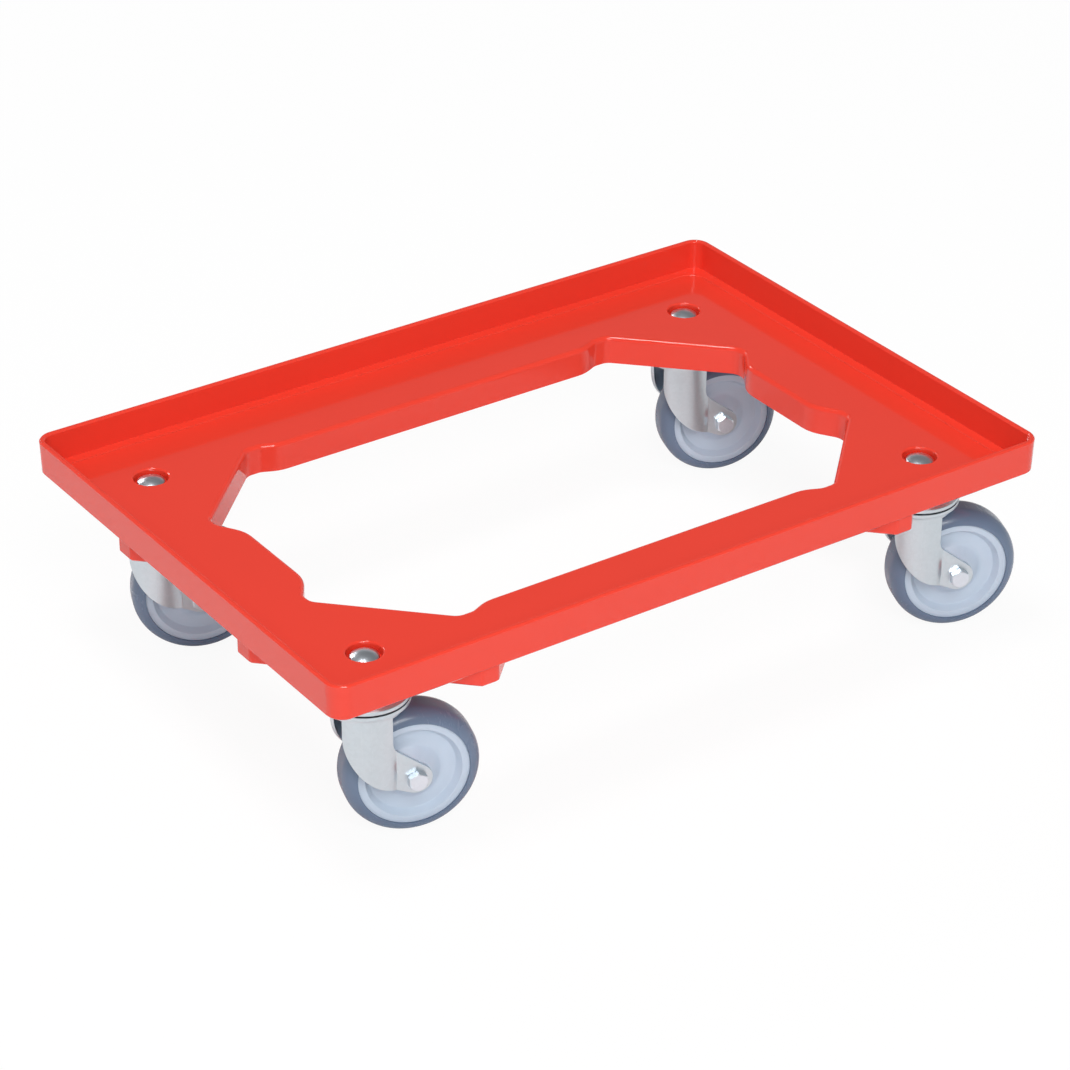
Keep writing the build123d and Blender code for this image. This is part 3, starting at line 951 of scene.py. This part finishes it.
def crown_profile(settings):
    """Crown of a fork: a flat ring whose edge flares out of the round body to a flange."""
    top = FORK_HIGH.z
    rim = FORK_HIGH.y
    under = top - settings.fork_steel
    body = rim - settings.crown_flare + settings.fork_seam
    inside = body - settings.fork_steel
    skirt = settings.fork_steel / 3
    foot = under - settings.crown_flare - skirt
    bore = settings.crown_bore
    flare = arc((rim, under - settings.crown_flare), rim - body, pi, pi / 2, steps=8)
    return [(bore, top), (bore, under), (inside, under), (inside, foot), (body, foot), *flare, (rim, top)]


def fork_pressing(name, settings, material):
    """A whole fork in the castor's own axes."""
    leg_top = FORK_HIGH.z - settings.fork_steel - settings.crown_flare
    legs = new_object(f"{name}_legs", leg_sheets(settings, leg_top))
    steel = legs.modifiers.new("steel", "SOLIDIFY")
    steel.thickness = settings.fork_steel
    steel.offset = -1
    steel.use_even_offset = True
    crown = turned_piece(f"{name}_crown", crown_profile(settings), True, PRESSING_STEPS, material)
    fork = new_object(name, joined(name, crown.data, baked(legs)))
    bpy.data.objects.remove(legs)
    bpy.data.objects.remove(crown)
    return rounded(fork, settings.fork_round)


# Floor, light and camera


def make_floor(settings):
    """A wide round floor under the wheels."""
    work = bmesh.new()
    bmesh.ops.create_circle(work, cap_ends=True, segments=96, radius=settings.floor_radius)
    mesh = mesh_from(work, "studio_floor")
    mesh.materials.append(floor_paint(settings))
    mesh.transform(Matrix.Translation((0, 0, cad_box[0].z)))
    new_object("studio_floor", mesh)


def make_light(scene, settings):
    """A room with a bright cove round the horizon, and lamps in front, by the camera, above and behind."""
    world = bpy.data.worlds.new("cove_room")
    world.use_nodes = True
    scene.world = world
    tree = world.node_tree
    split = tree.nodes.new("ShaderNodeSeparateXYZ")
    feed(tree, split, vector=tree.nodes.new("ShaderNodeTexCoord").outputs["Generated"])
    low = settings.cove_height - settings.cove_blur
    high = settings.cove_height + settings.cove_blur
    cove = tree.nodes.new("ShaderNodeMapRange")
    cove.interpolation_type = "SMOOTHSTEP"
    feed(tree, cove, value=split.outputs["Z"], from_min=low, from_max=high,
         to_min=settings.sky_low, to_max=settings.sky_high)
    seen = tree.nodes.new("ShaderNodeLightPath").outputs["Is Camera Ray"]
    brightness = worked(tree, "MAXIMUM", cove.outputs["Result"], seen)
    feed(tree, tree.nodes["Background"], color=(1, 1, 1, 1), strength=brightness)
    for name in LAMPS:
        power, size, way = [getattr(settings, f"{name}_{part}") for part in ("power", "size", "way")]
        soft_lamp(f"{name}_lamp", power, size, way, settings.lamp_distance)


def soft_lamp(name, power, size, way, far):
    """A square lamp that faces the middle of the deck from a direction."""
    lamp = bpy.data.lights.new(name, "AREA")
    lamp.energy = power
    lamp.size = size
    holder = new_object(name, lamp)
    holder.visible_camera = False
    way = Vector(way).normalized()
    holder.location = DECK_MIDDLE + way * far
    holder.rotation_euler = way.to_track_quat("Z", "Y").to_euler()


def make_camera(scene, settings):
    """A camera at the photograph's place, aimed by angles about a point over the middle of the deck."""
    middle = Vector((DECK_MIDDLE.x, DECK_MIDDLE.y, settings.aim_height))
    level = cos(settings.elevation)
    back = Vector((sin(settings.azimuth) * level, -cos(settings.azimuth) * level, sin(settings.elevation)))
    right = Vector((0, 0, 1)).cross(back).normalized()
    up = back.cross(right)
    turn = Matrix.Rotation(settings.roll, 3, back)
    right, up = turn @ right, turn @ up
    lens = bpy.data.cameras.new("camera")
    lens.lens = settings.focal_pixels / PHOTO_PIXELS * lens.sensor_width
    lens.clip_end = 100.0
    camera = new_object("camera", lens)
    camera.location = middle + right * settings.aside + up * settings.above + back * settings.distance
    camera.rotation_euler = Matrix((right, up, back)).transposed().to_euler()
    scene.camera = camera
    scene.view_settings.view_transform = "Standard"


# Operators, one for each group of pieces


class DOLLY_OT_deck(bpy.types.Operator):
    """Makes the deck moulding with rounded edges"""

    bl_idname = "dolly.deck"
    bl_label = "Deck moulding"

    def execute(self, context):
        settings = context.scene.dolly_deck
        deck = rounded(new_object("deck_moulding", welded_copy("deck_frame")), settings.edge_round)
        dress(deck, "deck", "red_plastic", moulded_red(settings), "deck_frame")
        return {"FINISHED"}


class DOLLY_OT_fasteners(bpy.types.Operator):
    """Sets the mounting bolts and their lock nuts at the four corners"""

    bl_idname = "dolly.fasteners"
    bl_label = "Mounting bolts and nuts"

    def execute(self, context):
        settings = context.scene.dolly_castor
        zinc = fastener_zinc(settings)
        profile = bolt_profile(context.scene.dolly_deck)
        bolt = turned_piece("bolt_pattern", profile, False, PRESSING_STEPS, zinc)
        nut_mesh = hexagon("nut_pattern", settings.nut_flats, NUT_LOW.z, NUT_HIGH.z, settings.nut_bore)
        nut = new_object("nut_pattern", nut_mesh)
        spacing = bolt_spacing()
        middle = (DECK_MIDDLE.x, DECK_MIDDLE.y, 0)
        tree = pattern_tree()
        patterns = (("deck_bolts", bolt, "mounting_bolts"), ("swivel_nuts", nut, "lock_nuts"))
        for name, pattern, node in patterns:
            group = grown(name, tree, piece=pattern, spacing_x=spacing.x, spacing_y=spacing.y,
                          middle=middle, material=zinc)
            dress(group, "deck", "zinc_fasteners", zinc, node)
            bpy.data.objects.remove(pattern)
        return {"FINISHED"}


class DOLLY_OT_swivel_heads(bpy.types.Operator):
    """Makes the swivel caps and their balls, and gives the sleeves and retainers their steel"""

    bl_idname = "dolly.swivel_heads"
    bl_label = "Swivel heads"

    def execute(self, context):
        settings = context.scene.dolly_castor
        zinc = pressed_zinc(settings)
        steel = turned_steel(settings)
        tree = ball_tree()
        ball = (BALL_HIGH.z - BALL_LOW.z) / 2
        ring = BALL_HIGH.x - ball
        height = (0, 0, BALL_LOW.z + ball)
        for corner in CORNERS:
            cap = turned_piece(f"{corner}_cap", cap_profile(settings), True, PRESSING_STEPS, zinc)
            cap.data.transform(castor_place(corner))
            dress(cap, "deck", "zinc_plate", zinc, f"{corner}_swivel_cap")
            balls = grown(f"{corner}_balls", tree, count=settings.ball_count, ring_radius=ring,
                          ball_radius=ball, height=height, material=steel)
            balls.data.transform(castor_place(corner))
            shade(balls.data)
            dress(balls, "deck", "steel", steel, f"{corner}_ball_ring")
            for node in ("king_sleeve", "swivel_retainer", "axle_sleeve"):
                mesh = frame["nodes"][f"{corner}_{node}"].data
                mesh.materials.clear()
                mesh.materials.append(steel)
        return {"FINISHED"}


class DOLLY_OT_forks(bpy.types.Operator):
    """Makes the pressed forks with their cut edges rounded"""

    bl_idname = "dolly.forks"
    bl_label = "Forks"

    def execute(self, context):
        settings = context.scene.dolly_castor
        zinc = pressed_zinc(settings)
        for corner in CORNERS:
            fork = fork_pressing(f"{corner}_fork_pressing", settings, zinc)
            fork.data.transform(castor_place(corner))
            dress(fork, f"{corner}_castor", "zinc_plate", zinc, f"{corner}_fork")
        return {"FINISHED"}


class DOLLY_OT_axles(bpy.types.Operator):
    """Makes the axle bolts, threaded at the far end, and their nuts"""

    bl_idname = "dolly.axles"
    bl_label = "Axle bolts and nuts"

    def execute(self, context):
        settings = context.scene.dolly_castor
        zinc = fastener_zinc(settings)
        flats = settings.axle_flats
        head_top = AXLE_LOW.z + settings.axle_head
        shank = axle_profile(settings, head_top)
        for corner in CORNERS:
            name = f"{corner}_axle_screw"
            head = hexagon(f"{corner}_head", flats, AXLE_LOW.z, head_top)
            rod = turned_piece(f"{corner}_rod", shank, False, ROD_STEPS, zinc)
            screw = new_object(name, joined(name, head, rod.data))
            bpy.data.objects.remove(rod)
            screw.data.transform(axle_place(corner))
            dress(screw, f"{corner}_castor", "zinc_fasteners", zinc, f"{corner}_axle_bolt")
            nut_name = f"{corner}_axle_lock_nut"
            nut_mesh = hexagon(nut_name, flats, AXLE_NUT_LOW.z, AXLE_NUT_HIGH.z, settings.axle_bore)
            nut_mesh.transform(axle_place(corner))
            nut = new_object(nut_name, nut_mesh)
            dress(nut, f"{corner}_castor", "zinc_fasteners", zinc, f"{corner}_axle_nut")
        return {"FINISHED"}


class DOLLY_OT_wheels(bpy.types.Operator):
    """Turns the hubs and their tyres"""

    bl_idname = "dolly.wheels"
    bl_label = "Wheels"

    def execute(self, context):
        settings = context.scene.dolly_wheel
        steps = settings.turn_steps
        plastic = moulded_hub(settings)
        rubber = tyre_rubber(settings)
        for corner in CORNERS:
            hub = turned_piece(f"{corner}_hub_moulding", hub_profile(settings), True, steps, plastic)
            hub.data.transform(axle_place(corner))
            dress(hub, f"{corner}_wheel", "hub_plastic", plastic, f"{corner}_wheel_hub")
            tread = turned_piece(f"{corner}_tread", tyre_profile(settings), True, steps, rubber)
            tread.data.transform(axle_place(corner))
            dress(tread, f"{corner}_wheel", "tyre_rubber", rubber, f"{corner}_tyre")
        return {"FINISHED"}


class DOLLY_OT_stage(bpy.types.Operator):
    """Sets up the floor, the soft light and the camera"""

    bl_idname = "dolly.stage"
    bl_label = "Stage"

    def execute(self, context):
        settings = context.scene.dolly_stage
        make_floor(settings)
        make_light(context.scene, settings)
        make_camera(context.scene, settings)
        return {"FINISHED"}


class DOLLY_PT_sidebar(bpy.types.Panel):
    """Lists the dolly's settings and the steps that build it"""

    bl_idname = "DOLLY_PT_sidebar"
    bl_label = "Crate dolly"
    bl_space_type = "VIEW_3D"
    bl_region_type = "UI"
    bl_category = "Crate dolly"

    def draw(self, context):
        for step in STEPS:
            self.layout.operator(step.bl_idname)
        for group in SETTINGS:
            box = self.layout.box()
            for label in SETTINGS[group].__annotations__:
                box.prop(getattr(context.scene, group), label)


STEPS = (
    DOLLY_OT_deck, DOLLY_OT_fasteners, DOLLY_OT_swivel_heads, DOLLY_OT_forks, DOLLY_OT_axles,
    DOLLY_OT_wheels, DOLLY_OT_stage,
)
SETTINGS = {
    "dolly_deck": DollyDeckSettings,
    "dolly_castor": DollyCastorSettings,
    "dolly_wheel": DollyWheelSettings,
    "dolly_stage": DollyStageSettings,
}


def register():
    for group, settings in SETTINGS.items():
        bpy.utils.register_class(settings)
        setattr(bpy.types.Scene, group, PointerProperty(type=settings))
    for step in (*STEPS, DOLLY_PT_sidebar):
        bpy.utils.register_class(step)


def unregister():
    for step in reversed((*STEPS, DOLLY_PT_sidebar)):
        bpy.utils.unregister_class(step)
    for group, settings in reversed(SETTINGS.items()):
        delattr(bpy.types.Scene, group)
        bpy.utils.unregister_class(settings)


def main():
    """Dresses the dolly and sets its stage."""
    register()
    bpy.ops.dolly.deck()
    bpy.ops.dolly.fasteners()
    bpy.ops.dolly.swivel_heads()
    bpy.ops.dolly.forks()
    bpy.ops.dolly.axles()
    bpy.ops.dolly.wheels()
    bpy.ops.dolly.stage()


if __name__ == "__main__":
    main()
